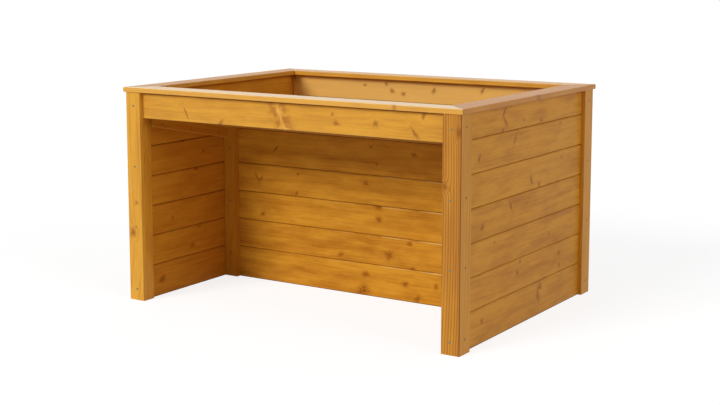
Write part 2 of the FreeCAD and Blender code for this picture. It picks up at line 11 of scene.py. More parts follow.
import bmesh
import bpy
from mathutils import Matrix, Vector


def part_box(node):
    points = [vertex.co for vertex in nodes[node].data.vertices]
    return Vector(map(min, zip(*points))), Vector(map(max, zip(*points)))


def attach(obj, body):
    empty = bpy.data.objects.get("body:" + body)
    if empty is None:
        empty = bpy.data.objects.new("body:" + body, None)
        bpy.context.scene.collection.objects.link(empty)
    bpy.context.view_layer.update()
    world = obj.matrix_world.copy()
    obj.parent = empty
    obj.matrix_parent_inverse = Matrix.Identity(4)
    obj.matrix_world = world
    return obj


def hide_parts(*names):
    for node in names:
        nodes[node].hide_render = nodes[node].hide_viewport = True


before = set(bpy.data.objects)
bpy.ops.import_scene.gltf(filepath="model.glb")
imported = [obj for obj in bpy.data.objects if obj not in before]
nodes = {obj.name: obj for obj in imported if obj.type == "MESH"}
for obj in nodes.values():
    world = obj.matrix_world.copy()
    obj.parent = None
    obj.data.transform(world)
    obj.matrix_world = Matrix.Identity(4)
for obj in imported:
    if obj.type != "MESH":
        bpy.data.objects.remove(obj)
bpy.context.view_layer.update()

# %% [markdown]
# ## Small helpers for shader nodes
# A wood shader is arithmetic on coordinates: distances, bands and masks. Written node by node it is
# long, so a few helpers keep it readable. One makes a node and sets its inputs. The others return
# the output of a Math, Map Range or Mix node, so a formula can be written from the inside out.

# %% Node helpers
def add_node(tree, kind, inputs=(), **settings):
    node = tree.nodes.new(kind)
    for name, value in settings.items():
        setattr(node, name, value)
    for socket, value in inputs:
        if isinstance(value, bpy.types.NodeSocket):
            tree.links.new(value, node.inputs[socket])
        else:
            node.inputs[socket].default_value = value
    return node


def calc(tree, operation, a, b=0.0, clamp=False):
    node = add_node(tree, "ShaderNodeMath", [(0, a), (1, b)], operation=operation, use_clamp=clamp)
    return node.outputs[0]


def plus(tree, a, b, clamp=False):
    return calc(tree, "ADD", a, b, clamp)


def minus(tree, a, b, clamp=False):
    return calc(tree, "SUBTRACT", a, b, clamp)


def times(tree, a, b):
    return calc(tree, "MULTIPLY", a, b)


def size_of(tree, value):
    return calc(tree, "ABSOLUTE", value)


def ramp(tree, value, low, high):
    """0 below low, 1 above high, and smooth between."""
    inputs = [("Value", value), ("From Min", low), ("From Max", high)]
    node = add_node(tree, "ShaderNodeMapRange", inputs, interpolation_type="SMOOTHSTEP")
    return node.outputs["Result"]


def fade(tree, value, low, high):
    """1 below low, 0 above high, and smooth between."""
    return minus(tree, 1.0, ramp(tree, value, low, high))


print("arithmetic helpers ready")

# %% Helpers for places, noise and colours
FIRST_COLOUR, SECOND_COLOUR, MIXED_COLOUR = 6, 7, 2


def vector(tree, operation, *inputs):
    return add_node(tree, "ShaderNodeVectorMath", enumerate(inputs), operation=operation).outputs[0]


def split(tree, place):
    return add_node(tree, "ShaderNodeSeparateXYZ", [(0, place)]).outputs


def noise(tree, place, scale, detail=2.0, roughness=0.5):
    inputs = [("Vector", place), ("Scale", scale), ("Detail", detail), ("Roughness", roughness)]
    return add_node(tree, "ShaderNodeTexNoise", inputs).outputs["Fac"]


def uneven(tree, value, amount):
    """A noise turned into a difference: as often above zero as below."""
    return times(tree, minus(tree, value, 0.5), amount)


def blend(tree, factor, first, second):
    inputs = [(0, factor), (FIRST_COLOUR, first), (SECOND_COLOUR, second)]
    return add_node(tree, "ShaderNodeMix", inputs, data_type="RGBA").outputs[MIXED_COLOUR]


def mixed(first, second, share):
    return [a * (1 - share) + b * share for a, b in zip(first, second)]


print("place, noise and colour helpers ready")

# %% [markdown]
# ## Growth rings
# A spruce board is a slice through nested cones of growth rings. Where the saw ran near the heart,
# the rings leave straight lines; where it ran along the bark, they leave long flames. One formula
# gives both: the distance from a heart line that lies under the board, made a little uneven along
# the length. Fine fibre, soft streaks and clouds where the stain sank in deeper are added to it.
# A ready-made wave texture would give rings too, but they would be too even and couldn't part at a
# knot. The group's vector runs along the board, across it and through it, in metres.

# %% Colours of the stain, and how the grain varies
LIGHT_WOOD = (0.75, 0.36, 0.032, 1)
DEEP_WOOD = (0.37, 0.118, 0.008, 1)
# Pale wood: the branch streak's own colour, and the colour of the painted highlights and painted pale
# faces.
PALE_WOOD_AND_HIGHLIGHT = (0.90, 0.56, 0.17, 1)
RED_WOOD = (0.56, 0.20, 0.012, 1)
KNOT_HALO = (0.33, 0.085, 0.003, 1)
KNOT_HEART = (0.10, 0.026, 0.002, 1)
END_GRAIN = (0.38, 0.145, 0.008, 1)
# Dark colour of the lines along the joints: partly stain gathered there, partly painted shade in the
# grooves between boards.
JOINT_STAIN_AND_SHADE = (0.075, 0.019, 0.0012, 1)
PITCH_OF_RINGS = 0.0040
LATE_WOOD_START, LATE_WOOD_END = 0.45, 0.93
HEART_WANDER, RING_RIPPLE = 0.22, 0.0055
SEED_SLOPE, SEED_DEPTH = 3.7, 0.4
# Patches in a metre along the board and across it, then the noise's detail and roughness.
GRAIN = {"wander": (1.0, 3.0, 1.0, 0.4), "ripple": (3.2, 26.0, 2.0, 0.5),
         "broad": (1.3, 21.0, 3.0, 0.55), "narrow": (4.0, 120.0, 4.0, 0.65),
         "cloud": (7.5, 27.0, 3.0, 0.6), "fibre": (14.0, 620.0, 2.0, 0.7)}
print("grain patterns:", sorted(GRAIN))

# %% The ring group
def new_group(name, inputs, outputs):
    """A node group, with its input sockets and its output sockets."""
    tree = bpy.data.node_groups.new(name, "ShaderNodeTree")
    for socket, kind in inputs:
        tree.interface.new_socket(socket, in_out="INPUT", socket_type=f"NodeSocket{kind}")
    for socket in outputs:
        tree.interface.new_socket(socket, in_out="OUTPUT", socket_type="NodeSocketFloat")
    return tree, tree.nodes.new("NodeGroupInput").outputs, tree.nodes.new("NodeGroupOutput").inputs


def length_of(tree, first, second):
    return calc(tree, "SQRT", plus(tree, times(tree, first, first), times(tree, second, second)))


def make_ring_group():
    tree, inside, outside = new_group(
        "stained_spruce_rings",
        (("Place", "Vector"), ("Seed", "Float"), ("Heart", "Float"), ("Push", "Float")),
        ("Streak", "Cloud", "Line", "Fibre"))
    shift = add_node(tree, "ShaderNodeCombineXYZ",
                     [(0, inside["Seed"]), (1, times(tree, inside["Seed"], SEED_SLOPE)),
                      (2, SEED_DEPTH)]).outputs[0]
    place = vector(tree, "ADD", inside["Place"], shift)

    def pattern(name):
        along, across, detail, roughness = GRAIN[name]
        scaled = vector(tree, "MULTIPLY", place, (along, across, across))
        return noise(tree, scaled, 1.0, detail, roughness)

    parts = split(tree, inside["Place"])
    aside = plus(tree, parts[1], uneven(tree, pattern("wander"), HEART_WANDER))
    radius = length_of(tree, aside, plus(tree, parts[2], inside["Heart"]))
    radius = plus(tree, radius, uneven(tree, pattern("ripple"), RING_RIPPLE))
    radius = plus(tree, radius, inside["Push"])
    turn = calc(tree, "FRACT", calc(tree, "DIVIDE", radius, PITCH_OF_RINGS))
    late = ramp(tree, turn, LATE_WOOD_START, LATE_WOOD_END)
    line = minus(tree, late, ramp(tree, turn, LATE_WOOD_END, 1.0))
    streak = plus(tree, times(tree, pattern("broad"), 0.5), times(tree, pattern("narrow"), 0.5))
    for socket, value in (("Streak", streak), ("Cloud", pattern("cloud")), ("Line", line),
                          ("Fibre", pattern("fibre"))):
        tree.links.new(value, outside[socket])
    return tree


rings = make_ring_group()
print("ring group nodes:", len(rings.nodes))

# %% [markdown]
# ## Knots
# A knot is where a branch went through the board. Its heart is dark, a broken dark arc lies round
# it where the bark was, the stain is deeper in a patch about it, and the growth rings part to flow
# past. Each knot therefore gives three things: its heart, its halo, and a push on the rings. How
# far it reaches, and where its arc is broken, depend on the direction from its middle, by noise
# read on a circle. Its size is two radii, along and across the board, and it may slant, so the
# same group draws round knots and dashes. Modelled knots would cost faces and show nothing more.

# %% What every knot gives
CORE_REACH = (0.12, 0.62)
ARC_REACH, ARC_STRENGTH, FAINT_ARC = (0.05, 0.50), 0.62, 0.35
HALO_REACH = (0.6, 3.2)
PUSH_FALL, PUSH_SHARE = -0.11, 1.3


def knot_parts(tree, near, size, broken=FAINT_ARC):
    """Heart, halo and push from how near a place is to a knot, where 1 is its edge."""
    core = fade(tree, near, *CORE_REACH)
    off_edge = size_of(tree, minus(tree, near, 1.0))
    arc = minus(tree, ARC_STRENGTH, ramp(tree, off_edge, *ARC_REACH), clamp=True)
    heart = calc(tree, "MAXIMUM", core, times(tree, arc, broken))
    halo = fade(tree, near, *HALO_REACH)
    fall = times(tree, times(tree, near, near), PUSH_FALL)
    push = times(tree, calc(tree, "EXPONENT", fall), times(tree, size, PUSH_SHARE))
    return heart, halo, push


print("halo reaches", HALO_REACH[1], "radii")

# %% One ragged knot
LOBES = 1.1
LOBE_NOISE, LOBE_REACH, ARC_GAPS = (0.36, 0.66), (0.85, 1.35), (0.44, 0.58)
VARIETY = (71, 93, 0)
GRIT, GRIT_AMOUNT = 260.0, 1.0


def ragged(tree, away, span, variety):
    """The distance over a reach that changes with the direction, and where the arc is broken."""
    place = vector(tree, "ADD", vector(tree, "NORMALIZE", away), variety)
    lobes = noise(tree, place, LOBES, 1.0)
    reach = add_node(tree, "ShaderNodeMapRange",
                     [("Value", lobes), ("From Min", LOBE_NOISE[0]), ("From Max", LOBE_NOISE[1]),
                      ("To Min", LOBE_REACH[0]), ("To Max", LOBE_REACH[1])]).outputs["Result"]
    return calc(tree, "DIVIDE", span, reach), ramp(tree, lobes, *ARC_GAPS)


def make_knot_group():
    tree, inside, outside = new_group(
        "one_knot",
        (("Place", "Vector"), ("Centre", "Vector"), ("Radii", "Vector"), ("Slant", "Float")),
        ("Heart", "Halo", "Push"))
    parts = split(tree, vector(tree, "SUBTRACT", inside["Place"], inside["Centre"]))
    radii = split(tree, inside["Radii"])
    lean = times(tree, parts[1], inside["Slant"])
    along = calc(tree, "DIVIDE", minus(tree, parts[0], lean), radii[0])
    across = calc(tree, "DIVIDE", parts[1], radii[1])
    flat = add_node(tree, "ShaderNodeCombineXYZ", [(0, along), (1, across)]).outputs[0]
    variety = vector(tree, "MULTIPLY", inside["Centre"], VARIETY)
    star, broken = ragged(tree, flat, length_of(tree, along, across), variety)
    near = plus(tree, star, uneven(tree, noise(tree, inside["Place"], GRIT), GRIT_AMOUNT))
    size = calc(tree, "MINIMUM", radii[0], radii[1])
    for socket, value in zip(("Heart", "Halo", "Push"), knot_parts(tree, near, size, broken)):
        tree.links.new(value, outside[socket])
    return tree


one_knot = make_knot_group()
print("knot group nodes:", len(one_knot.nodes))

# %% [markdown]
# ## Many knots on a board
# The boards that the main view shows have their knots where they are seen, one group for each.
# Nobody can tell where the others have theirs, so those boards take them from a cell pattern: one
# knot at most in each cell, and in many cells none. Both need places counted along and across the
# board from its middle, so the bed's coordinates are reordered first.

# %% Places on a board
AXES = {"x": 0, "y": 1, "z": 2}


def middle_and_half(node_name, order):
    low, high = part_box(node_name)
    ends = [(low[AXES[axis]], high[AXES[axis]]) for axis in order]
    return [(a + b) / 2 for a, b in ends], [(b - a) / 2 for a, b in ends]


def board_frame(tree, node_name, order, lean=0.0):
    """The place on a board, counted from its middle, and its half size. It may lean as it runs."""
    middle, half = middle_and_half(node_name, order)
    parts = split(tree, add_node(tree, "ShaderNodeTexCoord").outputs["Object"])
    turned = [minus(tree, parts[AXES[axis]], centre) for axis, centre in zip(order, middle)]
    if lean:
        turned[1] = plus(tree, turned[1], times(tree, turned[0], lean))
        half[1] -= half[0] * lean
    return add_node(tree, "ShaderNodeCombineXYZ", enumerate(turned)).outputs[0], half


print("front board's middle:", [round(v, 3) for v in middle_and_half("front_board", "xzy")[0]])

# %% Scattered and placed knots
CELLS, CELL_SHIFT = (5.2, 7.5, 0.0), (1.7, 0.9)
CELL_CHANCE, CELL_KNOT, CELL_PUSH = (0.45, 1.0), 0.052, 0.17
CELL_GRIT, CELL_GRIT_AMOUNT = 150.0, 0.9
NEVER_ZERO = 0.0001


def scattered_knots(tree, place, seed):
    """Knots from a cell pattern, for boards that need none in a set place."""
    shift = (seed * CELL_SHIFT[0], seed * CELL_SHIFT[1], 0.0)
    flat = vector(tree, "ADD", vector(tree, "MULTIPLY", place, CELLS), shift)
    cells = add_node(tree, "ShaderNodeTexVoronoi", [("Vector", flat), ("Scale", 1.0)],
                     voronoi_dimensions="2D")
    chance = add_node(tree, "ShaderNodeSeparateColor", [(0, cells.outputs["Color"])]).outputs
    size = times(tree, ramp(tree, chance[0], *CELL_CHANCE), CELL_KNOT)
    near = calc(tree, "DIVIDE", cells.outputs["Distance"], plus(tree, size, NEVER_ZERO))
    near = plus(tree, near, uneven(tree, noise(tree, place, CELL_GRIT), CELL_GRIT_AMOUNT))
    return knot_parts(tree, near, times(tree, size, CELL_PUSH))


def placed_knots(tree, place, knots):
    """Knots at set places: along, across, the two radii and slant."""
    heart, halo, push = 0.0, 0.0, 0.0
    for along, across, long_radius, cross_radius, slant in knots:
        group = add_node(tree, "ShaderNodeGroup", node_tree=one_knot)
        tree.links.new(place, group.inputs["Place"])
        group.inputs["Centre"].default_value = (along, across, 0.0)
        group.inputs["Radii"].default_value = (long_radius, cross_radius, 1.0)
        group.inputs["Slant"].default_value = slant
        heart = calc(tree, "MAXIMUM", group.outputs["Heart"], heart)
        halo = calc(tree, "MAXIMUM", group.outputs["Halo"], halo)
        push = plus(tree, group.outputs["Push"], push)
    return heart, halo, push


print("cells in a metre:", CELLS[:2])

# %% [markdown]
# ## Marks of sawing and joining, with painted shade and highlights
# Four things depend on where a board is used. The front board shows a branch that was cut
# lengthwise, as a pale slanting streak with dark, bent grain beside it. A dark line runs along the
# long edges, partly stain gathered in each joint and partly painted shade in the groove, and stain
# gathers along the mitres of the rim. The bevels that face up carry a painted highlight, mostly on
# the right, where the light catches them. Each is a mask made from the place on the board, so it
# stays right wherever the board goes.

# %% A branch cut lengthwise
BRANCH_PLACE, BRANCH_SLANT = 0.010, 0.40
BRANCH_NOISE, BRANCH_DETAIL, BRANCH_UNEVEN = 34.0, 3.0, 0.030
BRANCH_PALE, BRANCH_DARK, BRANCH_PATCHES = (0.001, 0.015), (0.020, 0.060), (0.38, 0.54)
BEND_REACH, BEND_PUSH = 0.055, 0.022


def branch_streak(tree, place):
    """A pale slanting streak, the dark patches on its two sides, and how far it bends the rings."""
    parts = split(tree, place)
    slanted = plus(tree, parts[0], times(tree, parts[1], BRANCH_SLANT))
    patches = noise(tree, place, BRANCH_NOISE, BRANCH_DETAIL)
    aside = plus(tree, plus(tree, slanted, BRANCH_PLACE), uneven(tree, patches, BRANCH_UNEVEN))
    far = size_of(tree, aside)
    pale = fade(tree, far, *BRANCH_PALE)
    dark = times(tree, minus(tree, fade(tree, far, *BRANCH_DARK), pale),
                 ramp(tree, patches, *BRANCH_PATCHES))
    return pale, dark, times(tree, fade(tree, far, 0.0, BEND_REACH), BEND_PUSH)


print("branch slant:", BRANCH_SLANT)

# %% Edges, mitres and painted bevel highlights
SQUARE_ON = (0.75, 0.9)
# Width of the line along the long edges, which is partly stain and partly painted shade.
EDGE_LINE_WIDTH, NARROW_LINE_WIDTH, EDGE_CORE, EDGE_SHARE = 0.0034, 0.0014, 0.3, 0.92
MITRE_LINE = (0.0004, 0.0022)
TONGUE, BEVEL = 0.009, 0.004
# Where the painted highlight lies on the upward bevels, and where it is strongest.
HIGHLIGHT_MARGIN, HIGHLIGHT_CUT = 0.0018, 0.0004
HIGHLIGHT_NOISE, HIGHLIGHT_PATCHES, HIGHLIGHT_RIGHT = 9.0, (0.35, 0.6), (-0.25, 0.35)


def edge_line_mask(tree, place, half, facing, width):
    """1 along the long edges, but not on the narrow faces beside them."""
    rim = ramp(tree, size_of(tree, split(tree, place)[1]), half[1] - width,
               half[1] - EDGE_CORE * width)
    flank = ramp(tree, size_of(tree, facing), *SQUARE_ON)
    return times(tree, rim, minus(tree, EDGE_SHARE, flank, clamp=True))


def mitre_stain(tree, place, half, inward):
    """1 along the 45 degree ends of a rim board, whose inner edge lies to one side."""
    parts = split(tree, place)
    reach = minus(tree, half[0], size_of(tree, parts[0]))
    inner = plus(tree, times(tree, parts[1], inward), half[1])
    return fade(tree, size_of(tree, minus(tree, reach, inner)), *MITRE_LINE)


def worn_bevel(tree, place, half):
    """1 on the upward bevel below the tongue: a painted highlight where the light catches it, mostly
    to the right.
    """
    parts = split(tree, place)
    top = half[1] - TONGUE
    start = top - BEVEL - HIGHLIGHT_MARGIN
    band = minus(tree, ramp(tree, parts[1], start, start + HIGHLIGHT_MARGIN),
                 ramp(tree, parts[1], top - HIGHLIGHT_CUT, top))
    lit_patches = times(tree, ramp(tree, noise(tree, place, HIGHLIGHT_NOISE), *HIGHLIGHT_PATCHES),
                   ramp(tree, parts[0], *HIGHLIGHT_RIGHT))
    return times(tree, band, lit_patches)


print("joint line:", EDGE_LINE_WIDTH, "m")

# %% [markdown]
# ## The stained board
# Each board gets its own material, because no two boards share their rings. The streaks, clouds and
# rings say how deep the stain sank in, and that depth mixes a light and a deep shade of honey. The
# knots, end grain, painted pale faces, painted bevel highlights and the lines along the edges go on
# top; those lines are partly stain in the joints and partly painted shade. The satin stain is a
# clear coat over the wood: it gives a real sheen on the rim, where a painted reflection adds to it,
# and keeps the colour deep elsewhere. A finish is a set of words with values, so that each board
# below is given only what makes it differ.

# %% How the stain sinks in
STREAK_WEIGHT, CLOUD_WEIGHT, FIBRE_WEIGHT = 1.35, 0.95, 0.22
MEAN_DEPTH = 0.22
PLAIN_SAW = ((1.0, 1.0, 1.0), 0.0)


def grain_of(tree, place, seed, push, heart_depth, saw):
    """The ring group on a board. The saw's two values stretch the grain and pass the heart."""
    stretch, off_heart = saw
    sawn = vector(tree, "MULTIPLY_ADD", place, stretch, (0.0, off_heart, 0.0))
    inputs = [("Place", sawn), ("Push", push), ("Seed", seed), ("Heart", heart_depth)]
    grain = add_node(tree, "ShaderNodeGroup", node_tree=rings)
    for socket, value in inputs:
        if isinstance(value, bpy.types.NodeSocket):
            tree.links.new(value, grain.inputs[socket])
        else:
            grain.inputs[socket].default_value = value
    return grain.outputs


def stain_depth(tree, grain, lines, contrast, tone):
    deep = times(tree, grain["Line"], lines)
    for name, weight in (("Streak", STREAK_WEIGHT * contrast), ("Cloud", CLOUD_WEIGHT * contrast),
                         ("Fibre", FIBRE_WEIGHT)):
        deep = plus(tree, deep, uneven(tree, grain[name], weight))
    return plus(tree, deep, tone + MEAN_DEPTH, clamp=True)


print("mean depth of the stain:", MEAN_DEPTH)

# %% The surface of a board
RING_RELIEF, FIBRE_RELIEF, KNOT_RELIEF = 0.5, 0.5, 0.6
RELIEF_STRENGTH, RELIEF_HEIGHT = 0.35, 0.0006
WOOD_ROUGHNESS, COAT_ROUGHNESS = 0.55, 0.24


def surface(tree, shader, grain, heart, gloss, sheen):
    relief = plus(tree, times(tree, grain["Line"], RING_RELIEF),
                  times(tree, grain["Fibre"], FIBRE_RELIEF))
    relief = minus(tree, relief, times(tree, heart, KNOT_RELIEF))
    bump = add_node(tree, "ShaderNodeBump", [("Height", relief), ("Strength", RELIEF_STRENGTH),
                                             ("Distance", RELIEF_HEIGHT)])
    tree.links.new(bump.outputs["Normal"], shader.inputs["Normal"])
    shader.inputs["Roughness"].default_value = WOOD_ROUGHNESS
    shader.inputs["Specular IOR Level"].default_value = gloss
    shader.inputs["Coat Weight"].default_value = sheen
    shader.inputs["Coat Roughness"].default_value = COAT_ROUGHNESS


def wear_material(node_name, material):
    nodes[node_name].data.materials.clear()
    nodes[node_name].data.materials.append(material)


print("coat roughness:", COAT_ROUGHNESS)

# %% One material for each board
HALO_SHARE, HEART_SHARE, STREAK_SHARE = 0.58, 0.74, 0.22
END_SHARE, MITRE_SHARE = 0.7, 0.7
TOWARDS = (0.3, 0.6)


def stain_board(node_name, order, seed, tone=0.0, heart_depth=0.07, knots=None, edges=EDGE_LINE_WIDTH,
                lines=0.12, contrast=1.0, sheen=0.16, gloss=0.2, bare_steel_or_painted_pale_face=None, red=0.0, worn=0.0,
                inward=0, branch=False, saw=PLAIN_SAW, lean=0.0, edge_colour=JOINT_STAIN_AND_SHADE):
    material = bpy.data.materials.new(f"stain_{node_name}")
    material.use_nodes = True
    tree = material.node_tree
    shader = tree.nodes["Principled BSDF"]
    place, half = board_frame(tree, node_name, order, lean)
    flat = vector(tree, "MULTIPLY", place, (1.0, 1.0, 0.0))
    if knots is None:
        heart, halo, push = scattered_knots(tree, place, seed)
    else:
        heart, halo, push = placed_knots(tree, flat, knots)
    if branch:
        pale, shaded, bend = branch_streak(tree, flat)
        halo = calc(tree, "MAXIMUM", halo, shaded)
        push = plus(tree, push, bend)
    grain = grain_of(tree, place, seed, push, heart_depth, saw)
    deep = stain_depth(tree, grain, lines, contrast, tone)
    colour = blend(tree, deep, mixed(LIGHT_WOOD, RED_WOOD, red), mixed(DEEP_WOOD, RED_WOOD, red))
    facing = split(tree, add_node(tree, "ShaderNodeTexCoord").outputs["Normal"])
    # Painted pale face: one side, picked by the way it faces, is mixed towards pale wood as painted
    # light.
    if bare_steel_or_painted_pale_face:
        axis, sign, share = bare_steel_or_painted_pale_face
        there = ramp(tree, times(tree, facing[AXES[axis]], sign), *TOWARDS)
        colour = blend(tree, times(tree, there, share), colour, PALE_WOOD_AND_HIGHLIGHT)
    if branch:
        colour = blend(tree, times(tree, pale, STREAK_SHARE), colour, PALE_WOOD_AND_HIGHLIGHT)
    colour = blend(tree, times(tree, halo, HALO_SHARE), colour, KNOT_HALO)
    colour = blend(tree, times(tree, heart, HEART_SHARE), colour, KNOT_HEART)
    # Painted highlight: the upward bevels are mixed towards pale wood where the light catches them.
    if worn:
        colour = blend(tree, times(tree, worn_bevel(tree, place, half), worn), colour, PALE_WOOD_AND_HIGHLIGHT)
    sawn_end = ramp(tree, size_of(tree, facing[AXES[order[0]]]), *SQUARE_ON)
    colour = blend(tree, times(tree, sawn_end, END_SHARE), colour, END_GRAIN)
    # Line along the long edges: the dark joint colour, partly stain and partly painted shade in the
    # groove; on the bearers a painted highlight.
    if edges:
        rim = edge_line_mask(tree, place, half, facing[AXES[order[1]]], edges)
        colour = blend(tree, rim, colour, edge_colour)
    if inward:
        joint = mitre_stain(tree, place, half, inward)
        colour = blend(tree, times(tree, joint, MITRE_SHARE), colour, JOINT_STAIN_AND_SHADE)
    tree.links.new(colour, shader.inputs["Base Color"])
    surface(tree, shader, grain, heart, gloss, sheen)
    wear_material(node_name, material)


print("materials so far:", len(bpy.data.materials))

# %% [markdown]
# ## Where the knots are seen
# A knot's place on its board could be guessed, or measured with a rule on the real bed. Here it
# comes from where its mark lies in the photograph, 720 by 405 pixels: a line of sight from the
# photographer's camera through that mark meets the face of the board. That camera looked level and
# its lens was shifted, so its middle lies above the picture. The places are rounded to a
# millimetre. Where the eye finds no clear mark, a few more knots are placed by choice, in metres.

# %% From a mark in the photograph to a place on a board
PHOTO_EYE = Vector((3.0233, -4.7702, 1.3816))
PHOTO_TURN = 0.5668
PHOTO_FOCAL = 1407.1
PHOTO_MIDDLE = (360, -48.5)
NEAR_FACE, FAR_FACE = 0, 1


def sight_line(mark):
    ahead = Vector((-math.sin(PHOTO_TURN), math.cos(PHOTO_TURN), 0))
    above = Vector((0, 0, 1))
    to_right = (mark[0] - PHOTO_MIDDLE[0]) / PHOTO_FOCAL
    upwards = (PHOTO_MIDDLE[1] - mark[1]) / PHOTO_FOCAL
    return ahead + ahead.cross(above) * to_right + above * upwards


def knots_from(marks, node_name, order, face):
    """Knots as along, across, two radii and slant, from marks as x, y, two radii and slant."""
    middle, half = middle_and_half(node_name, order)
    through = AXES[order[2]]
    plane = middle[2] + (half[2] if face == FAR_FACE else -half[2])
    knots = []
    for x, y, long_radius, cross_radius, slant in marks:
        line = sight_line((x, y))
        spot = PHOTO_EYE + line * ((plane - PHOTO_EYE[through]) / line[through])
        along, across = [round(spot[AXES[axis]] - centre, 3)
                         for axis, centre in zip(order[:2], middle)]
        knots.append((along, across, long_radius, cross_radius, slant))
    return knots


print("the photographer's camera:", [round(v, 2) for v in PHOTO_EYE])

# %% Marks on the front board, the panel and the rear wall
FRONT_MARKS = [(189.5, 111.7, 0.003, 0.010, -0.5), (223.9, 122.6, 0.004, 0.006, 0.6),
               (334, 114, 0.003, 0.003, 0.0), (338, 123.1, 0.007, 0.004, -0.6),
               (376.2, 123.4, 0.005, 0.005, 0.0), (423.5, 115.7, 0.004, 0.006, 0.2),
               (415.5, 134, 0.004, 0.008, -0.7)]
PANEL_MARKS = {
    5: [(276.6, 148.3, 0.003, 0.007, 0.8), (371.5, 146, 0.004, 0.003, 0.0),
        (414.4, 154.4, 0.006, 0.004, 0.0), (376.9, 163.6, 0.003, 0.003, 0.0)],
    4: [(258, 177, 0.003, 0.010, -0.5), (261.5, 178.5, 0.003, 0.007, 0.6),
        (366.2, 182.7, 0.006, 0.004, 0.0), (297.3, 192.7, 0.003, 0.005, 0.6),
        (299, 173, 0.003, 0.003, 0.0)],
    3: [(380, 206, 0.009, 0.006, 0.3), (379.2, 218.7, 0.008, 0.006, 0.0),
        (263.6, 213.3, 0.006, 0.005, 0.5)],
    2: [(389.1, 254.6, 0.010, 0.009, 0.0), (340.9, 254.6, 0.007, 0.005, 0.4),
        (410, 243.5, 0.006, 0.005, 0.0), (413, 269, 0.007, 0.003, 0.0)],
    1: [(366.2, 274.5, 0.008, 0.006, 0.0), (406, 284.5, 0.007, 0.006, 0.0),
        (365, 291.5, 0.015, 0.012, 0.0), (437, 287.5, 0.005, 0.006, 0.0),
        (418, 300, 0.007, 0.007, 0.4)],
}
REAR_TOP_MARKS = [(392, 90, 0.005, 0.005, 0.0), (433, 90, 0.005, 0.006, 0.3),
                  (481, 90, 0.004, 0.007, 0.5), (403, 93, 0.005, 0.004, 0.0),
                  (386, 83, 0.004, 0.004, 0.0), (365, 84, 0.004, 0.003, 0.0)]
print("marks on the front board:", len(FRONT_MARKS))

# %% Marks on the right wall, the left wall and the corners
RIGHT_MARKS = {
    7: [(502.5, 111.5, 0.004, 0.010, 0.7), (503.5, 121, 0.005, 0.010, -0.8),
        (501, 130.5, 0.004, 0.007, 0.6), (522, 119.3, 0.003, 0.003, 0.0),
        (539, 119.3, 0.005, 0.003, 0.0)],
    6: [(478.2, 157.8, 0.005, 0.006, 0.4), (513.5, 137.7, 0.003, 0.013, 0.6),
        (557.5, 122.5, 0.003, 0.003, 0.0)],
    5: [(530, 179, 0.005, 0.008, -0.5)],
    4: [(482, 226.6, 0.006, 0.005, 0.0), (510, 205, 0.005, 0.008, -0.6)],
    2: [(520, 260.7, 0.004, 0.004, 0.0), (517.3, 272.6, 0.005, 0.005, 0.0),
        (558.5, 252, 0.005, 0.004, 0.0), (559, 265, 0.005, 0.004, 0.0)],
    1: [(540, 286.7, 0.010, 0.007, 0.0), (538.4, 296.5, 0.008, 0.010, -0.4),
        (482.6, 321.4, 0.006, 0.005, 0.0)],
}
LEFT_MARKS = {
    5: [(205, 150, 0.005, 0.004, 0.0), (185, 140, 0.006, 0.003, 0.0)],
    4: [(198, 168, 0.006, 0.003, 0.0)],
    2: [(193, 245, 0.007, 0.005, 0.3), (200, 226, 0.007, 0.003, 0.5)],
    1: [(163, 280, 0.010, 0.007, 0.2)],
}
RIGHT_CHOSEN_KNOTS = {
    5: [(0.100, -0.050, 0.006, 0.005, 0.0), (0.300, 0.030, 0.003, 0.003, 0.0)],
    3: [(-0.260, 0.030, 0.003, 0.003, 0.0), (0.195, -0.015, 0.004, 0.003, 0.0)],
}
LEFT_CHOSEN_KNOTS = {
    7: [(-0.300, 0.010, 0.004, 0.004, 0.0)],
    6: [(0.120, -0.020, 0.005, 0.005, 0.0), (-0.120, 0.020, 0.004, 0.003, 0.0)],
    4: [(0.210, 0.000, 0.005, 0.005, 0.0)],
    3: [(-0.350, -0.010, 0.004, 0.004, 0.0), (0.060, 0.020, 0.005, 0.004, 0.0)],
    1: [(0.180, 0.010, 0.006, 0.005, 0.0)],
}
CORNER_MARKS = {
    "front_right": [(457.5, 133, 0.010, 0.005, 0.0), (444.5, 185.5, 0.007, 0.005, 0.0)],
    "front_left": [(134.5, 232, 0.009, 0.006, 0.0), (139, 202, 0.003, 0.003, 0.0)],
}
print("marks on the right wall:", sum(len(marks) for marks in RIGHT_MARKS.values()))

# %% [markdown]
# ## Walls and panel
# The wall boards lie level, so their grain runs along the bed on the rear, front and panel boards,
# and from front to rear on the sides. A seed from the board's name gives each its own grain, and
# tone makes one board a little darker than the next, as in any stack of timber. Inside the knee
# space the wood has little gloss, because hands have not polished it there, and the left wall and
# the panel are painted deeper and redder as painted shade. The top rear board's inner face is
# painted paler as painted light, and the upward bevels carry a painted highlight.

# %% Seed, tone and finish of each board
SEED_RANGE, SEED_STEP = 97, 3.0
TONE_RANGE, TONE_STEP = 11, 0.018


def letters(name, first):
    return sum(ord(letter) * (place + first) for place, letter in enumerate(name))


def stain(name, order, knots=None, tone=0.0, **finish):
    seed = letters(name, 3) % SEED_RANGE / SEED_STEP
    own_tone = (letters(name, 7) % TONE_RANGE - TONE_RANGE // 2) * TONE_STEP
    stain_board(name, order, seed, tone + own_tone, knots=knots, **finish)


stain("front_board", "xzy", knots_from(FRONT_MARKS, "front_board", "xzy", NEAR_FACE), tone=0.05,
      heart_depth=0.16, branch=True, contrast=0.8)
print("first material:", nodes["front_board"].data.materials[0].name)

# %% Stain the walls
COURSES = 7
INSIDE = {"sheen": 0.04, "gloss": 0.05}
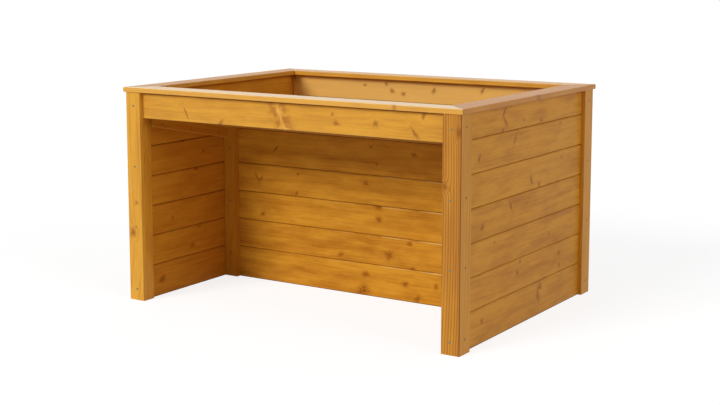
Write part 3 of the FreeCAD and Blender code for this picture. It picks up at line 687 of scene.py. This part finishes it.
# The left wall is given a deeper, redder tone as painted shade inside the knee space.
LEFT_FINISH_AND_SHADE = {"tone": 0.29, "red": 0.5, "contrast": 1.4, **INSIDE}
RIGHT_FINISH = {"tone": 0.04, "red": 0.45, "contrast": 1.8, "sheen": 0.1, "gloss": 0.15}
# The top rear board's inner face is painted paler, as painted light.
REAR_TOP_TONE_AND_PAINTED_LIGHT = {"tone": -0.04, "bare_steel_or_painted_pale_face": ("y", -1, 0.55)}
# Strength of the painted highlight on the rear wall's upward bevels.
REAR_BEVEL_HIGHLIGHT = 0.3
for course in range(1, COURSES + 1):
    left, right = f"left_wall_board_{course}", f"right_wall_board_{course}"
    left_knots = knots_from(LEFT_MARKS.get(course, []), left, "yzx", FAR_FACE)
    right_knots = knots_from(RIGHT_MARKS.get(course, []), right, "yzx", FAR_FACE)
    stain(left, "yzx", left_knots + LEFT_CHOSEN_KNOTS.get(course, []), **LEFT_FINISH_AND_SHADE)
    stain(right, "yzx", right_knots + RIGHT_CHOSEN_KNOTS.get(course, []), **RIGHT_FINISH)
    if course < COURSES:
        stain(f"rear_wall_board_{course}", "xzy", worn=REAR_BEVEL_HIGHLIGHT)
rear_top = f"rear_wall_board_{COURSES}"
stain(rear_top, "xzy", knots_from(REAR_TOP_MARKS, rear_top, "xzy", NEAR_FACE), **REAR_TOP_TONE_AND_PAINTED_LIGHT)
print("wall materials:", len(bpy.data.materials))

# %% Stain the panel
PANEL_TONES = {1: 0.17, 2: 0.12, 3: 0.02, 4: 0.07, 5: 0.28}
# Strength of the painted highlight on the upward bevels of each panel board.
PANEL_BEVEL_HIGHLIGHT = {1: 0.85, 2: 0.85, 3: 0.85, 4: 0.85, 5: 0.0}
# The panel's red share deepens it as painted shade inside the knee space.
PANEL_FINISH_AND_SHADE = {"red": 0.25, "contrast": 1.6, **INSIDE}
for course, tone in PANEL_TONES.items():
    name = f"panel_board_{course}"
    stain(name, "xzy", knots_from(PANEL_MARKS[course], name, "xzy", NEAR_FACE), tone=tone,
          worn=PANEL_BEVEL_HIGHLIGHT[course], **PANEL_FINISH_AND_SHADE)
print("with the panel:", len(bpy.data.materials))

# %% [markdown]
# ## Corners, battens, tray and rim
# Everything that stands upright has upright grain. The two boards of a corner are sawn beside the
# heart, so their rings stand as straight lines, and the grain is stretched, because old trees with
# wide rings gave them. The rim takes the most light: its coat gives a real sheen, and the front
# rim's top face is painted paler as a painted reflection. The lower arris of each sloping bearer
# carries a painted highlight, a thin pale line, and the battens and bearers are painted deeper as
# painted shade.

# %% Stain the corners
CORNER_FINISH = {"front_left": {"tone": -0.12, "lines": 0.28, "saw": ((0.5, 0.6, 0.6), 0.03)},
                 "front_right": {"tone": 0.38, "lines": 0.5, "saw": ((0.25, 0.36, 0.36), 0.05)},
                 "rear_left": {"tone": 0.08, "red": 0.2, "lines": 0.4, "saw": ((1, 1, 1), 0.022)},
                 "rear_right": {"red": 0.2, "lines": 0.3, "saw": ((1, 1, 1), 0.022)}}
FACE_FINISH = {"heart_depth": 0.03, "contrast": 1.2, "edges": NARROW_LINE_WIDTH}
SIDE_FINISH = {"heart_depth": 0.05, "lines": 0.4, "red": 0.35, "saw": ((0.4, 0.5, 0.5), -0.05),
               "edges": NARROW_LINE_WIDTH}
SIDE_TONES = {"rear_right": -0.08}
POST_FINISH = {"tone": 0.04, "heart_depth": 0.04, "lines": 0.24, "red": 0.2, "edges": NARROW_LINE_WIDTH}
for corner, finish in CORNER_FINISH.items():
    name = f"corner_board_{corner}"
    knots = None
    if corner in CORNER_MARKS:
        knots = knots_from(CORNER_MARKS[corner], name, "zxy", NEAR_FACE)
    stain(name, "zxy", knots, **finish, **FACE_FINISH)
    stain(f"side_board_{corner}", "zyx", tone=SIDE_TONES.get(corner, 0.0), **SIDE_FINISH)
    stain(f"post_{corner}", "zxy", **POST_FINISH)
print("with the corners:", len(bpy.data.materials))

# %% Stain the battens, the bearers and the tray
TRAY_BOARDS = 5
FLOOR_ANGLE = 11.4
# A painted highlight along each bearer's lower arris, where the light catches its rounded edge.
ARRIS_HIGHLIGHT = mixed(LIGHT_WOOD, PALE_WOOD_AND_HIGHLIGHT, 0.25)
# Battens and bearers get a deeper, redder tone as painted shade inside the knee space.
BATTEN_FINISH_AND_SHADE = {"tone": 0.12, "red": 0.5, "edges": NARROW_LINE_WIDTH, **INSIDE}
BEARER_FINISH_SHADE_AND_HIGHLIGHT = {"tone": 0.16, "red": 0.5, "lean": math.tan(math.radians(FLOOR_ANGLE)),
                 "edge_colour": ARRIS_HIGHLIGHT, **INSIDE}
for side in ("left", "right"):
    stain(f"panel_batten_{side}", "zxy", **BATTEN_FINISH_AND_SHADE)
    stain(f"floor_bearer_{side}", "yzx", **BEARER_FINISH_SHADE_AND_HIGHLIGHT)
for number in range(1, TRAY_BOARDS + 1):
    stain(f"floor_board_{number}", "xyz", tone=0.08, edges=NARROW_LINE_WIDTH)
print("with the tray:", len(bpy.data.materials))

# %% Stain the rim
ALONG_X, ALONG_Y = "xyz", "yxz"
RIM_FINISH_AND_PAINTED_REFLECTION = {
    # The front rim's top face is mixed towards pale wood: a painted reflection of the bright surround
    # at a grazing angle, over the real coat.
    "front": (ALONG_X, {"inward": 1, "tone": -0.20, "sheen": 0.80, "bare_steel_or_painted_pale_face": ("z", 1, 0.80)}),
    "rear": (ALONG_X, {"inward": -1, "sheen": 0.6}),
    "left": (ALONG_Y, {"inward": 1, "tone": 0.22, "sheen": 0.38, "red": 0.2}),
    "right": (ALONG_Y, {"inward": -1, "tone": 0.26, "sheen": 0.32, "red": 0.5}),
}
for where, (order, finish) in RIM_FINISH_AND_PAINTED_REFLECTION.items():
    stain(f"rim_board_{where}", order, edges=0, **finish)
print("materials of the timber:", len(bpy.data.materials))

# %% [markdown]
# ## Screws
# The screws are countersunk, with a round recess for the driver, and only their heads show, flush
# with the boards. The construction model has them as plain eight-sided bodies, so where each lies,
# how long it is and which way it faces are measured there, and a rounder one is turned for that
# place: a disc's middle is inset and pushed down for the recess, and the underside narrows to the
# shank. The ones across the front are bare steel, and the others were stained with the wood.

# %% Screw steel
STEEL_HAZE, HAZE_DETAIL, HAZE_ROUGHNESS = 260.0, 3.0, 0.9


def make_steel(name, dull, bright, metallic):
    material = bpy.data.materials.new(name)
    material.use_nodes = True
    tree = material.node_tree
    shader = tree.nodes["Principled BSDF"]
    spot = add_node(tree, "ShaderNodeTexCoord").outputs["Object"]
    haze = noise(tree, spot, STEEL_HAZE, HAZE_DETAIL)
    tree.links.new(blend(tree, haze, dull, bright), shader.inputs["Base Color"])
    tree.links.new(ramp(tree, haze, 0.0, HAZE_ROUGHNESS), shader.inputs["Roughness"])
    shader.inputs["Metallic"].default_value = metallic
    return material


screw_steel = make_steel("screw_steel", (0.13, 0.13, 0.075, 1), (0.30, 0.29, 0.18, 1), 0.7)
stained_steel = make_steel("stained_screw", (0.20, 0.075, 0.006, 1), (0.34, 0.135, 0.012, 1), 0.1)
print("materials:", screw_steel.name, stained_steel.name)

# %% Where the screws are
MERGED = 1e-6


def bodies_of(node_name):
    """The separate bodies of a node, each as the places of its corners."""
    shape = bmesh.new()
    shape.from_mesh(nodes[node_name].data)
    bmesh.ops.remove_doubles(shape, verts=shape.verts[:], dist=MERGED)
    seen, bodies = set(), []
    for start in shape.verts:
        if start in seen:
            continue
        seen.add(start)
        found = [start]
        for corner in found:
            for edge in corner.link_edges:
                other = edge.other_vert(corner)
                if other not in seen:
                    seen.add(other)
                    found.append(other)
        bodies.append([corner.co.copy() for corner in found])
    shape.free()
    return bodies


def spot_of(corners):
    """A screw's length, the middle of its head's face, and the way the head faces."""
    low, high = [Vector([pick(corner[i] for corner in corners) for i in range(3)])
                 for pick in (min, max)]
    size, centre = high - low, (low + high) / 2
    axis = max(range(3), key=lambda i: size[i])

    def spread(end):
        return max((corner - centre).length for corner in corners
                   if abs(corner[axis] - end) < MERGED)

    head_end = max((low[axis], high[axis]), key=spread)
    facing = Vector((0, 0, 0))
    facing[axis] = 1 if head_end > centre[axis] else -1
    centre[axis] = head_end
    return size[axis], centre, facing


print("bodies of the batten screws:", len(bodies_of("batten_screws")))

# %% One screw
HEAD, SHANK, SOCKET, SOCKET_DEPTH = 0.0045, 0.0025, 0.0019, 0.0016
HEAD_SIDES = 24


def moved(found, kind):
    return [item for item in found["geom"] if isinstance(item, kind)]


def turned_screw(length):
    """A screw whose head faces +Z at the origin, with its shank along -Z."""
    shape = bmesh.new()
    bmesh.ops.create_circle(shape, cap_ends=True, segments=HEAD_SIDES, radius=HEAD)
    cone = bmesh.ops.extrude_face_region(shape, geom=shape.faces[:])
    narrow = moved(cone, bmesh.types.BMVert)
    bmesh.ops.translate(shape, verts=narrow, vec=(0, 0, SHANK - HEAD))
    bmesh.ops.scale(shape, verts=narrow, vec=(SHANK / HEAD, SHANK / HEAD, 1))
    shank = bmesh.ops.extrude_face_region(shape, geom=moved(cone, bmesh.types.BMFace))
    bmesh.ops.translate(shape, verts=moved(shank, bmesh.types.BMVert), vec=(0, 0, HEAD - length))
    bmesh.ops.recalc_face_normals(shape, faces=shape.faces[:])
    cap = max(shape.faces, key=lambda face: face.calc_center_median().z)
    bmesh.ops.inset_region(shape, faces=[cap], thickness=HEAD - SOCKET)
    sunk = bmesh.ops.extrude_face_region(shape, geom=[cap])
    bmesh.ops.translate(shape, verts=moved(sunk, bmesh.types.BMVert), vec=(0, 0, -SOCKET_DEPTH))
    bmesh.ops.delete(shape, geom=[cap], context="FACES")
    return shape


sample = turned_screw(10 * HEAD)
print("faces of one screw:", len(sample.faces))
sample.free()

# %% All of them
BARE_STEEL, STAINED_OVER = 0, 1
FRONT = Vector((0, -1, 0))


def place_screws(node_name, bare_in_front):
    """Turned screws in place of a node's. Those that face the front may be left bare."""
    whole = bmesh.new()
    for length, place, facing in map(spot_of, bodies_of(node_name)):
        one = turned_screw(length)
        turn = Vector((0, 0, 1)).rotation_difference(facing).to_matrix().to_4x4()
        bmesh.ops.transform(one, matrix=Matrix.Translation(place) @ turn, verts=one.verts[:])
        for face in one.faces:
            bare_steel_or_painted_pale_face = bare_in_front and facing == FRONT
            face.material_index = BARE_STEEL if bare_steel_or_painted_pale_face else STAINED_OVER
        piece = bpy.data.meshes.new("one")
        one.to_mesh(piece)
        whole.from_mesh(piece)
        bpy.data.meshes.remove(piece)
        one.free()
    name = f"turned_{node_name}"
    mesh = bpy.data.meshes.new(name)
    whole.to_mesh(mesh)
    whole.free()
    mesh.materials.append(screw_steel)
    mesh.materials.append(stained_steel)
    screws = bpy.data.objects.new(name, mesh)
    bpy.context.scene.collection.objects.link(screws)
    return screws


for node_name, bare_in_front in (("corner_screws_long", True), ("corner_screws_short", True),
                                 ("batten_screws", False)):
    screws = place_screws(node_name, bare_in_front)
    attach(screws, "root")
    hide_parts(node_name)
    print(screws.name, "faces:", len(screws.data.polygons))
for node_name in ("floor_screws", "bearer_screws"):
    wear_material(node_name, stained_steel)

# %% [markdown]
# ## Studio
# A white floor and a white surround. The floor could simply be painted white, but then it would
# throw too much light up at the boards. Instead it has a moderate grey for the bed's light, and is
# lifted to white only where it is seen directly, on top of the light that it really gets, so the
# shadow under the bed stays. The surround does the same: white to the eye, and weaker as a light.

# %% What is seen directly
def shown_directly(tree):
    """1 for what the camera sees itself, in a reflection or through something."""
    path = add_node(tree, "ShaderNodeLightPath").outputs
    either = calc(tree, "MAXIMUM", path["Is Camera Ray"], path["Is Glossy Ray"])
    return calc(tree, "MAXIMUM", either, path["Is Transmission Ray"])


print("seen directly: camera, glossy and transmission rays")

# %% The floor
FLOOR_REACH, FLOOR_DROP = 40, -0.0005
FLOOR_GREY, SHOWN_GREY, FLOOR_LIFT = 0.74, 0.27, 0.82
WHITE = (1, 1, 1, 1)


def grey(value):
    return value, value, value, 1


def make_floor():
    shape = bmesh.new()
    bmesh.ops.create_grid(shape, x_segments=1, y_segments=1, size=FLOOR_REACH)
    mesh = bpy.data.meshes.new("studio_floor")
    shape.to_mesh(mesh)
    shape.free()
    floor = bpy.data.objects.new("studio_floor", mesh)
    floor.location.z = FLOOR_DROP
    bpy.context.scene.collection.objects.link(floor)
    material = bpy.data.materials.new("studio_white")
    material.use_nodes = True
    tree = material.node_tree
    tree.nodes.remove(tree.nodes["Principled BSDF"])
    seen = shown_directly(tree)
    shade = blend(tree, seen, grey(FLOOR_GREY), grey(SHOWN_GREY))
    matt = add_node(tree, "ShaderNodeBsdfDiffuse", [("Color", shade)])
    lift = add_node(tree, "ShaderNodeEmission",
                    [("Color", WHITE), ("Strength", times(tree, seen, FLOOR_LIFT))])
    both = add_node(tree, "ShaderNodeAddShader", [(0, matt.outputs[0]), (1, lift.outputs[0])])
    tree.links.new(both.outputs[0], tree.nodes["Material Output"].inputs["Surface"])
    mesh.materials.append(material)
    return floor


floor = make_floor()
print("floor side:", 2 * FLOOR_REACH, "m")

# %% The surround
SURROUND = 0.34
world = bpy.data.worlds.new("studio_surround")
world.use_nodes = True
bpy.context.scene.world = world
background = world.node_tree.nodes["Background"]
shown = times(world.node_tree, shown_directly(world.node_tree), 1.0 - SURROUND)
world.node_tree.links.new(plus(world.node_tree, shown, SURROUND), background.inputs["Strength"])
background.inputs["Color"].default_value = WHITE
print("surround strength:", SURROUND)

# %% [markdown]
# ## Lamps
# The light is soft and plain. A broad lamp stands in front, to the left and fairly low, so the wall
# on the left shades the panel beside it and the front board shades the panel's top. A weaker lamp
# fills in from the right, which keeps the right wall bright. Far lamps light every board alike.

# %% The lamps
BROAD_LAMP = {"azimuth": -18, "height": 28, "energy": 2.0, "spread": 24}
SIDE_FILL = {"azimuth": 80, "height": 22, "energy": 0.74, "spread": 30}


def far_lamp(name, azimuth, height, energy, spread):
    """A soft lamp far away: azimuth from the front towards the right, both angles in degrees."""
    lamp = bpy.data.lights.new(name, "SUN")
    lamp.energy = energy
    lamp.angle = math.radians(spread)
    turn, rise = math.radians(azimuth), math.radians(height)
    towards = Vector((math.sin(turn) * math.cos(rise), -math.cos(turn) * math.cos(rise),
                      math.sin(rise)))
    holder = bpy.data.objects.new(name, lamp)
    holder.rotation_mode = "QUATERNION"
    holder.rotation_quaternion = towards.to_track_quat("Z", "Y")
    bpy.context.scene.collection.objects.link(holder)
    print(name, [round(v, 2) for v in towards])


far_lamp("broad_lamp", **BROAD_LAMP)
far_lamp("side_fill", **SIDE_FILL)

# %% [markdown]
# ## Camera
# The camera stands in front of the bed's right half, above the rim, and looks down by a few
# degrees. Its place comes from fitting the corners of the bed to their places in the photograph.
# Most of the photograph's shifted lens is made up by tilting the camera, and a small shift is kept.

# %% Camera
PICTURE_WIDTH = 720
FOCAL_PIXELS = 1343.3
SENSOR_WIDTH = 36
CAMERA_PLACE = (2.8423, -4.4461, 1.3235)
LOOK_DOWN, TURN_LEFT = 0.1346, 0.5704
CAMERA_SHIFT = -0.08
FAR_CLIP = 200
camera = bpy.data.cameras.new("camera")
camera.sensor_width = SENSOR_WIDTH
camera.lens = FOCAL_PIXELS / PICTURE_WIDTH * SENSOR_WIDTH
camera.shift_y = CAMERA_SHIFT
camera.clip_end = FAR_CLIP
camera_object = bpy.data.objects.new("camera", camera)
camera_object.location = CAMERA_PLACE
camera_object.rotation_euler = (math.pi / 2 - LOOK_DOWN, 0, TURN_LEFT)
bpy.context.scene.collection.objects.link(camera_object)
bpy.context.scene.camera = camera_object
print("lens:", round(camera.lens, 1), "mm")

# %% [markdown]
# ## Colours
# The standard view shows colours as they are written here, with no film curve.

# %% Colours are shown as written
bpy.context.scene.view_settings.view_transform = "Standard"
